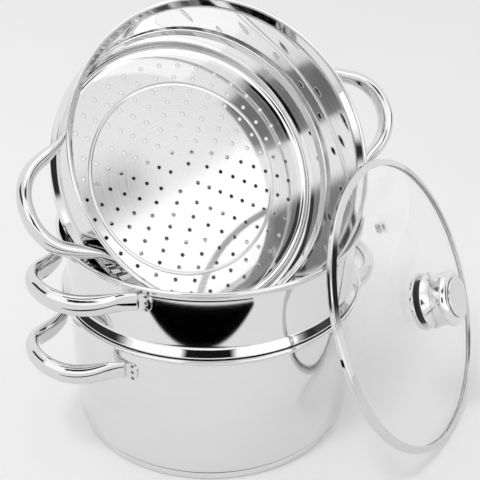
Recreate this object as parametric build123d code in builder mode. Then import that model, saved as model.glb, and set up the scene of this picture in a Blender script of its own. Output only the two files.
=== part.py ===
from build123d import *
import os
from math import asin, atan, cos, degrees, radians, sin, sqrt

# A three-tier steamer set: a pot that stands on the table, a steamer basket seated on its rim,
# a second basket that leans in the first one, and a glass lid that leans against the stack.
# Sizes are in millimetres and angles in degrees. The origin is the centre of the pot's base on
# the table and +Z is up. Each vessel is drawn in a frame of its own: the middle of its rim is
# the frame's origin, its axis is the frame's Z and its two handles lie along the frame's X.

# Sheet metal, shared by the pot and the baskets
wall_radius = 140.0
bead_radius = 1.9
flare_depth = 8.0
flare_bend = 5.0

# Pot
pot_sheet = 0.9
pot_bead_height = 143.4
pot_rim_reach = 5.9
pot_floor_bend = 9.0
cap_inset = 3.4
cap_sheet = 0.8
cap_height = 8.2
cap_bend = 3.5
core_thickness = 6.4
core_clearance = 0.3
pot_turn = 32.1

# Steamer basket, used twice
basket_sheet = 0.8
basket_depth = 106.6
basket_rim_reach = 5.1
skirt_clearance = 3.35
skirt_bend = 7.0
step_depth = 73.5
step_reach = 2.15
step_bend = 1.0
seat_depth = 67.2
ridge_reach = 6.2
ridge_rise = 8.2
ridge_nose = 1.3
ridge_bend = 5.0
base_border = 3.65
base_clearance = 0.1
hole_diameter = 3.9
hole_rings = 9
holes_per_ring_step = 4
first_ring_radius = 15.1
hole_border = 20.67
hole_start_angle = -37.5
emboss_inset = 40.15
emboss_width = 4.0
emboss_height = 0.6

# How the tiers sit
seat_gap = 0.3
lower_turn = 39.3
upper_centre_shares = (0.1145, -0.179429, 0.547143)
upper_tilt = 53.94
upper_azimuth = 30.15
upper_turn = 3.1

# Loop handles: a bent tube with flattened ends that are spot welded to the wall
handle_reach = 47.3
handle_top_half = 27.55
handle_top_bend = 41.0
handle_elbow_half = 51.25
handle_elbow_gap = 7.0874
handle_elbow_bend = 25.0
handle_foot_half = 62.4
handle_foot_gap = 1.9507
handle_width = 12.75
handle_height = 20.5
handle_end_width = 3.4
handle_end_height = 17.5
handle_sections = 24
flatten_share = 0.22
plate_half = 66.3723
plate_length = 15.0
plate_height = 17.5
plate_corner = 6.5
plate_thickness = 1.7
plate_clearance = 0.1
weld_half = 68.5135
weld_spacing = 6.5
welds_per_foot = 3
weld_radius = 1.5
weld_depth = 0.6
weld_clearance = 0.1
pot_handle_drop = 26.9
pot_handle_rise = 0.5
pot_handle_sag = 6.2
basket_handle_drop = 17.4
basket_handle_rise = 4.4
basket_handle_sag = 4.1

# Lid, drawn from the plane of its lower edge upwards
lid_overhang = 2.95
lid_centre_shares = (1.339714, -0.22, -0.591286)
lid_tilt = 65.02
lid_azimuth = 62.04
band_sheet = 0.6
band_foot = 1.0
band_height = 6.2
band_top_width = 6.45
band_top_rise = 1.75
band_bottom_width = 5.65
band_bottom_rise = 1.5
band_bend = 1.2
glass_thickness = 4.0
glass_clearance = 1.0
glass_edge_height = 5.8
glass_crown = 20.0
glass_flat_radius = 38.0
vent_distance = 89.5
vent_angle = 99.5
vent_hole_radius = 3.9
vent_tube_outer = 3.7
vent_bore = 2.4
vent_flange_radius = 5.4
vent_flange_thickness = 0.9
vent_flange_rounding = 0.3
vent_clearance = 0.1

# Knob on the lid
screw_radius = 2.4
screw_hole_radius = 3.2
screw_head_radius = 6.0
screw_head_height = 3.2
screw_slot_width = 1.2
screw_slot_depth = 1.4
screw_length = 24.0
screw_clearance = 0.1
seal_radius = 21.0
seal_thickness = 0.8
washer_radius = 10.0
washer_thickness = 1.2
flange_radius = 27.5
flange_thickness = 3.6
flange_sheet = 1.2
flange_bend = 1.4
core_neck_radius = 21.0
neck_height = 6.0
spool_base_radius = 27.2
spool_waist_radius = 25.0
spool_top_radius = 26.4
spool_height = 26.0
spool_waist_share = 0.45
spool_sheet = 1.4
spool_rounding = 5.5
spool_rim = 1.2
insert_radius = 9.0
insert_clearance = 0.3
insert_crown = 4.5
knob_cap_radius = 18.5
knob_cap_thickness = 1.6
knob_cap_clearance = 0.2


def turned_frame(centre, turn):
    """Upright frame at a centre, turned about Z."""
    return Plane(origin=centre, x_dir=(cos(radians(turn)), sin(radians(turn)), 0), z_dir=(0, 0, 1))


def leaning_frame(centre, tilt, azimuth, turn):
    """Frame whose Z leans by tilt towards an azimuth that is counted from -Y, then turned about it."""
    lean, swing = radians(tilt), radians(azimuth)
    normal = Vector(sin(lean) * sin(swing), -sin(lean) * cos(swing), cos(lean))
    level = Vector(cos(swing), sin(swing), 0)
    upward = normal.cross(level)
    return Plane(origin=centre, x_dir=level * cos(radians(turn)) + upward * sin(radians(turn)), z_dir=normal)


def section_of(frame):
    """Plane through a frame's axis: its x is the radius and its y the height along the axis."""
    return Plane(origin=frame.origin, x_dir=frame.x_dir, z_dir=frame.y_dir * -1)


def axis_of(frame):
    """Axis of revolution of a frame."""
    return Axis(frame.origin, frame.z_dir)


def lean_centre(shares):
    """Centre of a leaning piece: shares of the wall radius, from the middle of the seated basket's rim."""
    across, back, up = (wall_radius * share for share in shares)
    return (across, back, lower_rim_height + up)


# Sizes that follow from the wall, and the frame of each vessel and of the lid
cap_radius = wall_radius - cap_inset
skirt_radius = wall_radius - skirt_clearance
lid_radius = wall_radius + lid_overhang
emboss_radius = skirt_radius - emboss_inset
foot_distance = sqrt((wall_radius + handle_foot_gap) ** 2 - handle_foot_half**2)
elbow_distance = sqrt((wall_radius + handle_elbow_gap) ** 2 - handle_elbow_half**2)
plate_angle = degrees(asin(plate_half / wall_radius))
weld_angle = degrees(asin(weld_half / wall_radius))
ring_spacing = (skirt_radius - hole_border - first_ring_radius) / (hole_rings - 1)
lower_rim_height = pot_bead_height + bead_radius + seat_gap + seat_depth
pot_frame = turned_frame((0, 0, pot_bead_height), pot_turn)
lower_frame = turned_frame((0, 0, lower_rim_height), lower_turn)
upper_frame = leaning_frame(lean_centre(upper_centre_shares), upper_tilt, upper_azimuth, upper_turn)
lid_frame = leaning_frame(lean_centre(lid_centre_shares), lid_tilt, lid_azimuth, 0)


def save(builder, name):
    """Label a finished piece and write it."""
    builder.part.label = name
    export_step(builder.part, f"parts/{name}.step")


# Pot body: one drawn sheet with a rounded floor corner, a flared lip and a rolled edge
pot_floor = cap_sheet + core_thickness - pot_bead_height
pot_bead = wall_radius + pot_rim_reach
with BuildPart() as pot_body:
    with BuildSketch(section_of(pot_frame)):
        with BuildLine():
            FilletPolyline(
                (0, pot_floor),
                (wall_radius, pot_floor),
                (wall_radius, -flare_depth),
                (pot_bead, 0),
                radius=[pot_floor_bend, flare_bend],
            )
            offset(amount=pot_sheet, side=Side.LEFT)
        make_face()
        with Locations((pot_bead, 0)):
            Circle(bead_radius)
    revolve(axis=axis_of(pot_frame))
save(pot_body, "pot_body")

# Base core: the aluminium disc that spreads the heat
core_radius = cap_radius - cap_sheet - core_clearance
with BuildPart() as pot_base_core:
    with BuildSketch(Plane.XY.offset(cap_sheet)):
        Circle(core_radius)
    extrude(amount=core_thickness)
    fillet(pot_base_core.edges().group_by(Axis.Z)[0], radius=cap_bend)
save(pot_base_core, "pot_base_core")

# Base cap: the shallow steel dish that closes the core from below
with BuildPart() as pot_base_cap:
    with BuildSketch(Plane.XZ):
        with BuildLine():
            FilletPolyline((0, 0), (cap_radius, 0), (cap_radius, cap_height), radius=cap_bend)
            offset(amount=cap_sheet, side=Side.LEFT)
        make_face()
    revolve(axis=Axis.Z)
save(pot_base_cap, "pot_base_cap")


def basket_shell(frame):
    """Wall of a basket: base corner, skirt, step, seating ridge, wall, flared lip and rolled edge."""
    bead = wall_radius + basket_rim_reach
    border = skirt_radius - skirt_bend - base_border
    with BuildPart() as shell:
        with BuildSketch(section_of(frame)):
            with BuildLine():
                FilletPolyline(
                    (border, -basket_depth),
                    (skirt_radius, -basket_depth),
                    (skirt_radius, -step_depth),
                    (skirt_radius + step_reach, -seat_depth),
                    (wall_radius + ridge_reach, -seat_depth),
                    (wall_radius, ridge_rise - seat_depth),
                    (wall_radius, -flare_depth),
                    (bead, 0),
                    radius=[skirt_bend, step_bend, step_bend, ridge_nose, ridge_bend, flare_bend],
                )
                offset(amount=basket_sheet, side=Side.LEFT)
            make_face()
            with Locations((bead, 0)):
                Circle(bead_radius)
        revolve(axis=axis_of(frame))
    return shell


def basket_base(frame):
    """Perforated base of a basket: rings of holes, each ring with four more than the last."""
    edge = skirt_radius - skirt_bend - base_border - base_clearance
    top = basket_sheet - basket_depth
    with BuildPart() as base:
        with BuildSketch(frame.offset(-basket_depth)):
            Circle(edge)
            for ring in range(hole_rings):
                count = holes_per_ring_step * (ring + 1)
                with PolarLocations(first_ring_radius + ring_spacing * ring, count, hole_start_angle):
                    Circle(hole_diameter / 2, mode=Mode.SUBTRACT)
        extrude(amount=basket_sheet)
        with BuildSketch(section_of(frame)):
            with BuildLine():
                ThreePointArc(
                    (emboss_radius - emboss_width / 2, top),
                    (emboss_radius, top + emboss_height),
                    (emboss_radius + emboss_width / 2, top),
                )
                Line((emboss_radius + emboss_width / 2, top), (emboss_radius - emboss_width / 2, top))
            make_face()
        revolve(axis=axis_of(frame))
    return base


def handle_frame(frame, drop, side):
    """Frame of one handle: x along the wall, y away from the vessel's axis, at the handle's height."""
    level = frame.offset(-drop)
    return Plane(origin=level.origin, x_dir=frame.y_dir * -side, z_dir=frame.z_dir)


def wall_plane(place, angle, distance):
    """Plane that faces outward at an angle beside a handle's middle, at a distance from the axis."""
    outward = place.y_dir * cos(radians(angle)) + place.x_dir * sin(radians(angle))
    along = place.x_dir * cos(radians(angle)) - place.y_dir * sin(radians(angle))
    return Plane(origin=place.origin + outward * distance, x_dir=along, z_dir=outward)


def handle_plate(place, end):
    """Flattened foot of a handle, curved to lie on the wall, with its weld dimples."""
    inner = wall_radius + plate_clearance
    outer = inner + plate_thickness
    with BuildPart() as plate:
        with BuildSketch(wall_plane(place, end * plate_angle, 0)):
            RectangleRounded(plate_length, plate_height, plate_corner)
        extrude(amount=2 * outer)
        with BuildSketch(place.offset(-plate_height)):
            Circle(outer)
            Circle(inner, mode=Mode.SUBTRACT)
        extrude(amount=2 * plate_height, mode=Mode.INTERSECT)
        with BuildSketch(wall_plane(place, end * weld_angle, outer - weld_depth)):
            with GridLocations(0, weld_spacing, 1, welds_per_foot):
                Circle(weld_radius)
        extrude(amount=plate_thickness, mode=Mode.SUBTRACT)
    return plate.part


def loop_handle(frame, drop, rise, sag, side):
    """Loop handle of flattened tube, lofted along a line that sags between its feet and its grip."""
    place = handle_frame(frame, drop, side)
    with BuildLine(place) as centreline:
        FilletPolyline(
            (-handle_foot_half, foot_distance),
            (-handle_elbow_half, elbow_distance),
            (-handle_top_half, wall_radius + handle_reach),
            (handle_top_half, wall_radius + handle_reach),
            (handle_elbow_half, elbow_distance),
            (handle_foot_half, foot_distance),
            radius=[handle_elbow_bend, handle_top_bend, handle_top_bend, handle_elbow_bend],
        )
    path = centreline.wire()
    feet = [handle_plate(place, end) for end in (-1, 1)]
    with BuildPart() as handle:
        for step in range(handle_sections + 1):
            share = step / handle_sections
            near = min(share, 1 - share) / flatten_share
            blend = 1.0 if near > 1 else near * near * (3 - 2 * near)
            point = path @ share
            out = place.to_local_coords(point).Y - foot_distance
            out_share = out / (wall_radius + handle_reach - foot_distance)
            sag_share = 4 * out_share * (1 - out_share)
            centre = point + place.z_dir * (rise * out_share - sag * sag_share)
            width = handle_end_width + (handle_width - handle_end_width) * blend
            height = handle_end_height + (handle_height - handle_end_height) * blend
            with BuildSketch(Plane(origin=centre, x_dir=place.z_dir, z_dir=path % share)):
                Ellipse(height / 2, width / 2)
        loft()
        add(feet)
    return handle


def weld_spots(frame, drop):
    """Nuggets of the spot welds that hold both handles of a vessel."""
    floor = wall_radius + plate_clearance + plate_thickness - weld_depth
    with BuildPart() as spots:
        for side in (-1, 1):
            place = handle_frame(frame, drop, side)
            for end in (-1, 1):
                with BuildSketch(wall_plane(place, end * weld_angle, floor)):
                    with GridLocations(0, weld_spacing, 1, welds_per_foot):
                        Circle(weld_radius - weld_clearance)
                extrude(amount=weld_depth - weld_clearance)
    return spots


for vessel, frame, drop, rise, sag in (
    ("pot", pot_frame, pot_handle_drop, pot_handle_rise, pot_handle_sag),
    ("lower_steamer", lower_frame, basket_handle_drop, basket_handle_rise, basket_handle_sag),
    ("upper_steamer", upper_frame, basket_handle_drop, basket_handle_rise, basket_handle_sag),
):
    save(loop_handle(frame, drop, rise, sag, -1), f"{vessel}_left_handle")
    save(loop_handle(frame, drop, rise, sag, 1), f"{vessel}_right_handle")
    save(weld_spots(frame, drop), f"{vessel}_handle_welds")

for vessel, frame in (("lower_steamer", lower_frame), ("upper_steamer", upper_frame)):
    save(basket_shell(frame), f"{vessel}_shell")
    save(basket_base(frame), f"{vessel}_base")

# Lid glass: flat crown, then a dome whose arc leaves the crown level, with two holes
glass_edge = lid_radius - glass_clearance - band_sheet
dome_run = glass_edge - glass_flat_radius
dome_fall = glass_crown - glass_edge_height
dome_radius = (dome_run**2 + dome_fall**2) / (2 * dome_fall)
dome_lean = asin(dome_run / dome_radius)
inner_dome = dome_radius - glass_thickness
glass_inside = glass_crown - glass_thickness
vent_slope = atan((vent_distance - glass_flat_radius) / dome_radius)
vent_height = glass_crown - dome_radius * (1 - cos(vent_slope))
vent_normal = Vector(
    sin(vent_slope) * cos(radians(vent_angle)),
    sin(vent_slope) * sin(radians(vent_angle)),
    cos(vent_slope),
)
vent_point = Vector(
    vent_distance * cos(radians(vent_angle)), vent_distance * sin(radians(vent_angle)), vent_height
)
vent_origin = lid_frame.from_local_coords(vent_point)
vent_frame = Plane(
    origin=vent_origin,
    x_dir=lid_frame.z_dir.cross(lid_frame.from_local_coords(vent_point + vent_normal) - vent_origin),
    z_dir=lid_frame.from_local_coords(vent_point + vent_normal) - vent_origin,
)
with BuildPart() as lid_glass:
    with BuildSketch(section_of(lid_frame)):
        with BuildLine():
            crown = Line((0, glass_crown), (glass_flat_radius, glass_crown))
            outer = TangentArc(crown @ 1, (glass_edge, glass_edge_height), tangent=crown % 1)
            inner = TangentArc(
                (glass_flat_radius, glass_inside),
                (
                    glass_flat_radius + inner_dome * sin(dome_lean),
                    glass_inside - inner_dome * (1 - cos(dome_lean)),
                ),
                tangent=crown % 1,
            )
            Line(outer @ 1, inner @ 1)
            Line(inner @ 0, (0, glass_inside))
            Line((0, glass_inside), (0, glass_crown))
        make_face()
    revolve(axis=axis_of(lid_frame))
    with BuildSketch(lid_frame):
        Circle(screw_hole_radius)
    extrude(amount=glass_crown, mode=Mode.SUBTRACT)
    with BuildSketch(vent_frame.offset(-2 * glass_thickness)):
        Circle(vent_hole_radius)
    extrude(amount=3 * glass_thickness, mode=Mode.SUBTRACT)
save(lid_glass, "lid_glass")

# Rim band: a folded steel channel that grips the edge of the glass
band_line = lid_radius - band_sheet / 2
with BuildPart() as lid_rim_band:
    with BuildSketch(section_of(lid_frame)):
        with BuildLine():
            FilletPolyline(
                (band_line - band_bottom_width, band_foot + band_bottom_rise),
                (band_line, band_foot),
                (band_line, band_height),
                (band_line - band_top_width, band_height + band_top_rise),
                radius=band_bend,
            )
            offset(amount=band_sheet / 2, side=Side.BOTH)
        make_face()
    revolve(axis=axis_of(lid_frame))
save(lid_rim_band, "lid_rim_band")

# Vent grommet: a short steel tube with a flange on either side of the glass
with BuildPart() as lid_vent_grommet:
    with BuildSketch(vent_frame.offset(vent_clearance)):
        Circle(vent_flange_radius)
        Circle(vent_bore, mode=Mode.SUBTRACT)
    extrude(amount=vent_flange_thickness)
    with BuildSketch(vent_frame.offset(-glass_thickness - vent_clearance)):
        Circle(vent_tube_outer)
        Circle(vent_bore, mode=Mode.SUBTRACT)
    extrude(amount=glass_thickness + 2 * vent_clearance)
    with BuildSketch(vent_frame.offset(-glass_thickness - vent_clearance - vent_flange_thickness)):
        Circle(vent_flange_radius)
        Circle(vent_bore, mode=Mode.SUBTRACT)
    extrude(amount=vent_flange_thickness)
    fillet(
        lid_vent_grommet.edges().filter_by(GeomType.CIRCLE).filter_by(lambda e: e.radius > vent_tube_outer),
        radius=vent_flange_rounding,
    )
save(lid_vent_grommet, "lid_vent_grommet")

# Knob stack, from the inside of the glass outwards
flange_seat = glass_crown + seal_thickness
neck_seat = flange_seat + flange_thickness
spool_seat = neck_seat + neck_height
spool_top = spool_seat + spool_height

with BuildPart() as lid_seal_washer:
    with BuildSketch(lid_frame.offset(glass_crown)):
        Circle(seal_radius)
        Circle(screw_hole_radius, mode=Mode.SUBTRACT)
    extrude(amount=seal_thickness)
save(lid_seal_washer, "lid_seal_washer")

with BuildPart() as lid_inner_washer:
    with BuildSketch(lid_frame.offset(glass_inside - washer_thickness)):
        Circle(washer_radius)
        Circle(screw_hole_radius, mode=Mode.SUBTRACT)
    extrude(amount=washer_thickness)
save(lid_inner_washer, "lid_inner_washer")

with BuildPart() as lid_knob_screw:
    with BuildSketch(lid_frame.offset(glass_inside - washer_thickness - screw_head_height)):
        Circle(screw_head_radius)
    extrude(amount=screw_head_height)
    with BuildSketch(lid_frame.offset(glass_inside - washer_thickness)):
        Circle(screw_radius)
    extrude(amount=screw_length)
    with BuildSketch(lid_frame.offset(glass_inside - washer_thickness - screw_head_height)):
        Rectangle(2 * screw_head_radius, screw_slot_width)
    extrude(amount=screw_slot_depth, mode=Mode.SUBTRACT)
save(lid_knob_screw, "lid_knob_screw")

with BuildPart() as lid_knob_flange:
    with BuildSketch(section_of(lid_frame)):
        with BuildLine():
            FilletPolyline(
                (screw_hole_radius, flange_seat + flange_thickness),
                (flange_radius, flange_seat + flange_thickness),
                (flange_radius, flange_seat),
                radius=flange_bend,
            )
            offset(amount=flange_sheet, side=Side.RIGHT)
        make_face()
    revolve(axis=axis_of(lid_frame))
save(lid_knob_flange, "lid_knob_flange")

insert_bore = screw_radius + screw_clearance
screw_tip = glass_inside - washer_thickness + screw_length
insert_top = screw_tip + insert_clearance
with BuildPart() as lid_knob_insert:
    with BuildSketch(lid_frame.offset(neck_seat)):
        Circle(core_neck_radius)
    extrude(amount=neck_height)
    with BuildSketch(lid_frame.offset(spool_seat)):
        Circle(insert_radius)
    extrude(amount=insert_top - spool_seat + insert_crown)
    with BuildSketch(lid_frame.offset(neck_seat)):
        Circle(insert_bore)
    extrude(amount=insert_top - neck_seat, mode=Mode.SUBTRACT)
save(lid_knob_insert, "lid_knob_insert")

spool_waist_height = spool_seat + spool_height * spool_waist_share
with BuildPart() as lid_knob_body:
    with BuildSketch(section_of(lid_frame)):
        with BuildLine():
            bottom = Line((insert_radius + insert_clearance, spool_seat), (spool_base_radius, spool_seat))
            waist = ThreePointArc(
                bottom @ 1,
                (spool_waist_radius, spool_waist_height),
                (spool_top_radius, spool_top - spool_rounding),
            )
            TangentArc(waist @ 1, (spool_top_radius - spool_rounding, spool_top), tangent=waist % 1)
            Line(
                (spool_top_radius - spool_rounding, spool_top),
                (knob_cap_radius + knob_cap_clearance - spool_rim, spool_top),
            )
            offset(amount=spool_sheet, side=Side.LEFT)
        make_face()
    revolve(axis=axis_of(lid_frame))
save(lid_knob_body, "lid_knob_body")

with BuildPart() as lid_knob_cap:
    with BuildSketch(lid_frame.offset(spool_top)):
        Circle(knob_cap_radius)
    extrude(amount=knob_cap_thickness)
save(lid_knob_cap, "lid_knob_cap")
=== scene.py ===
"""Steamer set: a pot, a basket seated in its rim, a second basket that leans in the first one,
and a glass lid that leans against the stack.

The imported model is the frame. Every piece made here is in metres in that frame and has the sizes
of the solid that it stands for: sheet metal and knob pieces are profiles turned about an axis,
handles are sections carried along a line, and every finish is worked out from Object coordinates
turned into the frame of the vessel that wears it.
"""

import logging
from dataclasses import dataclass, field
from enum import Enum
from math import atan, cos, pi, radians, sin, tan

import bpy
import numpy as np
from mathutils import Matrix, Vector


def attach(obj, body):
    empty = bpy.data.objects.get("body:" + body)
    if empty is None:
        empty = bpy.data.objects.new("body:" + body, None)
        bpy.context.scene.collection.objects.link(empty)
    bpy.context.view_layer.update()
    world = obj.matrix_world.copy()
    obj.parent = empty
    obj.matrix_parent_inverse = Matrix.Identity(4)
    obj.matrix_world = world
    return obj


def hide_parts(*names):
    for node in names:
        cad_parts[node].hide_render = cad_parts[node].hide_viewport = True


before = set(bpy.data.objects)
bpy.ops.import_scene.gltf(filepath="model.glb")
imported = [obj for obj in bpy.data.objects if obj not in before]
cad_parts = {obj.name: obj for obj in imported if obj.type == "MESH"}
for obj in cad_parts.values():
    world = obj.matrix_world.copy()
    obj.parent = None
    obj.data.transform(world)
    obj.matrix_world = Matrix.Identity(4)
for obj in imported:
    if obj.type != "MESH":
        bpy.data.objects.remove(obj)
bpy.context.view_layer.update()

MM = 0.001
log = logging.getLogger("steamer")


# Frames

@dataclass(frozen=True)
class Place:
    """Frame of a vessel, of the lid or of a small part: an origin in mm and three axes.

    Args:
        origin: the frame's origin, in mm.
        axes: 3 x 3 matrix whose columns are the frame's x, y and z axes.
    """

    origin: np.ndarray
    axes: np.ndarray

    @classmethod
    def turned(cls, height: float, turn: float) -> "Place":
        """Upright frame on the pot's axis.

        Args:
            height: height of the origin, in mm.
            turn: turn about Z, in degrees.

        Returns:
            The frame.
        """
        c, s = cos(radians(turn)), sin(radians(turn))
        return cls(np.array((0.0, 0.0, height)), np.array(((c, -s, 0.0), (s, c, 0.0), (0.0, 0.0, 1.0))))

    @classmethod
    def leaning(cls, centre: tuple[float, float, float], tilt: float, azimuth: float, turn: float) -> "Place":
        """Frame whose z leans by tilt towards an azimuth counted from -Y, then turned about it.

        Args:
            centre: the frame's origin, in mm.
            tilt: lean of the axis, in degrees.
            azimuth: heading of the lean, in degrees.
            turn: turn about the leaning axis, in degrees.

        Returns:
            The frame.
        """
        lean, swing, roll = radians(tilt), radians(azimuth), radians(turn)
        normal = np.array((sin(lean) * sin(swing), -sin(lean) * cos(swing), cos(lean)))
        level = np.array((cos(swing), sin(swing), 0.0))
        x = level * cos(roll) + np.cross(normal, level) * sin(roll)
        return cls(np.array(centre, float), np.stack((x, np.cross(normal, x), normal), axis=1))

    def world(self, points: np.ndarray) -> np.ndarray:
        """Points of this frame, (..., 3) in mm, as points of the shared frame in mm."""
        return points @ self.axes.T + self.origin

    def part(self, origin: np.ndarray, normal: np.ndarray) -> "Place":
        """Frame of a small part of this one.

        Args:
            origin: the part's origin in this frame, in mm.
            normal: the part's axis in this frame, of unit length.

        Returns:
            The part's frame.
        """
        axis = self.axes @ normal
        x = np.cross(self.axes[:, 2], axis)
        x = x / np.linalg.norm(x)
        return Place(self.world(origin), np.stack((x, np.cross(axis, x), axis), axis=1))


# Profiles: points of a section, (radius, height) in mm

RUN_STOPS = np.array((0.03, 0.25, 0.5, 0.75, 0.97))


def rounded(corners: list[tuple[float, float]], radii: list[float], steps: int = 10,
            ring: bool = False) -> tuple[np.ndarray, np.ndarray]:
    """Line through corners whose inner corners are arcs, with points along the straight runs.

    At a corner P with unit directions a in and b out, turning by t, the arc of radius r starts at
    S = P - r tan(t/2) a and runs S + r sin(k t) a + r (1 - cos(k t)) m for k in 0..1, where m is
    the unit part of b square to a. A run from E to the next S has points E + f (S - E).

    Args:
        corners: the corners, in order.
        radii: one radius for each corner that turns; on an open line the two ends have none.
        steps: divisions of each arc.
        ring: whether the line closes on itself.

    Returns:
        Points (n, 2) and unit headings (n, 2).
    """
    knots = np.array(corners, float)
    count = len(knots)
    turns = range(count) if ring else range(1, count - 1)
    share = np.linspace(0.0, 1.0, steps + 1)
    arcs: list[tuple[np.ndarray, np.ndarray]] = []
    for k, r in zip(turns, radii):
        into = knots[k] - knots[k - 1]
        out = knots[(k + 1) % count] - knots[k]
        a, b = into / np.linalg.norm(into), out / np.linalg.norm(out)
        turn = np.arccos(np.clip(a @ b, -1.0, 1.0))
        m = b - (a @ b) * a
        m = m / np.linalg.norm(m)
        start = knots[k] - r * tan(turn / 2) * a
        angle = (share * turn)[:, None]
        arcs.append((start + r * np.sin(angle) * a + r * (1 - np.cos(angle)) * m,
                     np.cos(angle) * a + np.sin(angle) * m))
    points, headings = [], []
    if not ring:
        first = (arcs[0][0][0] - knots[0]) / np.linalg.norm(arcs[0][0][0] - knots[0])
        last = (knots[-1] - arcs[-1][0][-1]) / np.linalg.norm(knots[-1] - arcs[-1][0][-1])
        arcs = [(knots[:1], first[None])] + arcs + [(knots[-1:], last[None])]
    for here, after in zip(arcs, arcs[1:] + (arcs[:1] if ring else [])):
        run = after[0][0] - here[0][-1]
        points += [here[0], here[0][-1] + RUN_STOPS[:, None] * run]
        headings += [here[1], np.repeat((run / max(np.linalg.norm(run), 1e-9))[None], len(RUN_STOPS), axis=0)]
    if not ring:
        points.append(arcs[-1][0])
        headings.append(arcs[-1][1])
    return np.concatenate(points), np.concatenate(headings)


def sheet(line: tuple[np.ndarray, np.ndarray], left: float, right: float = 0.0) -> np.ndarray:
    """Outline of a sheet: a line moved to its left and to its right, closed at its ends.

    With unit heading h = (u, v), the left side is P + left (-v, u) and the right P - right (-v, u).

    Args:
        line: points and headings of the line.
        left: thickness on the left of the heading, in mm.
        right: thickness on the right, in mm.

    Returns:
        Closed outline (n, 2).
    """
    points, headings = line
    normal = np.stack((-headings[:, 1], headings[:, 0]), axis=1)
    return np.concatenate((points - right * normal, (points + left * normal)[::-1]))


def circle(radius: float, height: float, tube: float, steps: int = 24) -> np.ndarray:
    """Round section of a rolled edge: (radius + tube cos t, height + tube sin t)."""
    t = np.arange(steps) * 2 * pi / steps
    return np.stack((radius + tube * np.cos(t), height + tube * np.sin(t)), axis=1)


def arc(start: tuple[float, float], through: tuple[float, float], end: tuple[float, float],
        steps: int) -> np.ndarray:
    """Arc through three points: C + R (cos t, sin t), C from the two chords' middles.

    Args:
        start: first point.
        through: a point on the arc.
        end: last point.
        steps: divisions.

    Returns:
        Points (steps + 1, 2).
    """
    a, b, c = (np.array(p, float) for p in (start, through, end))
    sides = np.array((b - a, c - a))
    centre = np.linalg.solve(sides, (sides * (np.array((a + b, a + c)) / 2)).sum(axis=1))
    t0, t1, t2 = (np.arctan2(*(p - centre)[::-1]) for p in (a, b, c))
    sweep = (t2 - t0) % (2 * pi)
    if (t1 - t0) % (2 * pi) > sweep:
        sweep -= 2 * pi
    t = t0 + sweep * np.linspace(0.0, 1.0, steps + 1)
    return centre + np.linalg.norm(a - centre) * np.stack((np.cos(t), np.sin(t)), axis=1)


# Surfaces

@dataclass
class Surface:
    """Closed surface of quads and triangles.

    Args:
        points: vertices (n, 3) in mm, in the shared frame.
        quads: faces of four vertices (m, 4).
        tris: faces of three vertices (k, 3).
    """

    points: np.ndarray
    quads: np.ndarray
    tris: np.ndarray = field(default_factory=lambda: np.zeros((0, 3), int))

    def outward(self) -> "Surface":
        """The same surface with faces that point out: a . (b x c), summed over its triangles, is above 0."""
        middle = self.points - self.points.mean(axis=0)
        fans = np.concatenate((self.quads[:, (0, 1, 2)], self.quads[:, (0, 2, 3)], self.tris))
        a, b, c = (middle[fans[:, k]] for k in range(3))
        if np.einsum("ij,ij->", a, np.cross(b, c)) < 0:
            return Surface(self.points, self.quads[:, ::-1], self.tris[:, ::-1])
        return self

    def with_others(self, *others: "Surface") -> "Surface":
        """One surface that holds this one and others, each closed by itself."""
        points, quads, tris = self.points, self.quads, self.tris
        for other in others:
            quads = np.concatenate((quads, other.quads + len(points)))
            tris = np.concatenate((tris, other.tris + len(points)))
            points = np.concatenate((points, other.points))
        return Surface(points, quads, tris)

    def mesh(self, name: str) -> bpy.types.Mesh:
        """Mesh of this surface, in metres and smooth."""
        mesh = bpy.data.meshes.new(name)
        mesh.from_pydata((self.points * MM).tolist(), [], self.quads.tolist() + self.tris.tolist())
        mesh.polygons.foreach_set("use_smooth", np.ones(len(mesh.polygons), bool))
        mesh.update()
        return mesh


def grid_quads(rows: int, columns: int, wrap_rows: bool, wrap_columns: bool = True) -> np.ndarray:
    """Faces of a grid whose vertex (i, j) has the number i columns + j.

    Args:
        rows: number of rows.
        columns: number of columns.
        wrap_rows: whether the last row joins the first.
        wrap_columns: whether the last column joins the first.

    Returns:
        Faces (m, 4), row by row.
    """
    i, j = np.meshgrid(np.arange(rows if wrap_rows else rows - 1),
                       np.arange(columns if wrap_columns else columns - 1), indexing="ij")
    down, right = (i + 1) % rows, (j + 1) % columns
    faces = (i * columns + j, i * columns + right, down * columns + right, down * columns + j)
    return np.stack(faces, axis=-1).reshape(-1, 4)


def end_fans(count: int, last: int, pole: int) -> np.ndarray:
    """Triangles that close a first and a last ring, each about a pole.

    Args:
        count: vertices of a ring; the first ring starts at vertex 0.
        last: the last ring's first vertex.
        pole: the first ring's pole; the last ring's pole follows it.

    Returns:
        Faces (2 count, 3).
    """
    j = np.arange(count)
    after = (j + 1) % count
    return np.concatenate((np.stack((0 * j + pole, after, j), axis=1),
                           np.stack((0 * j + pole + 1, last + j, last + after), axis=1)))


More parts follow.
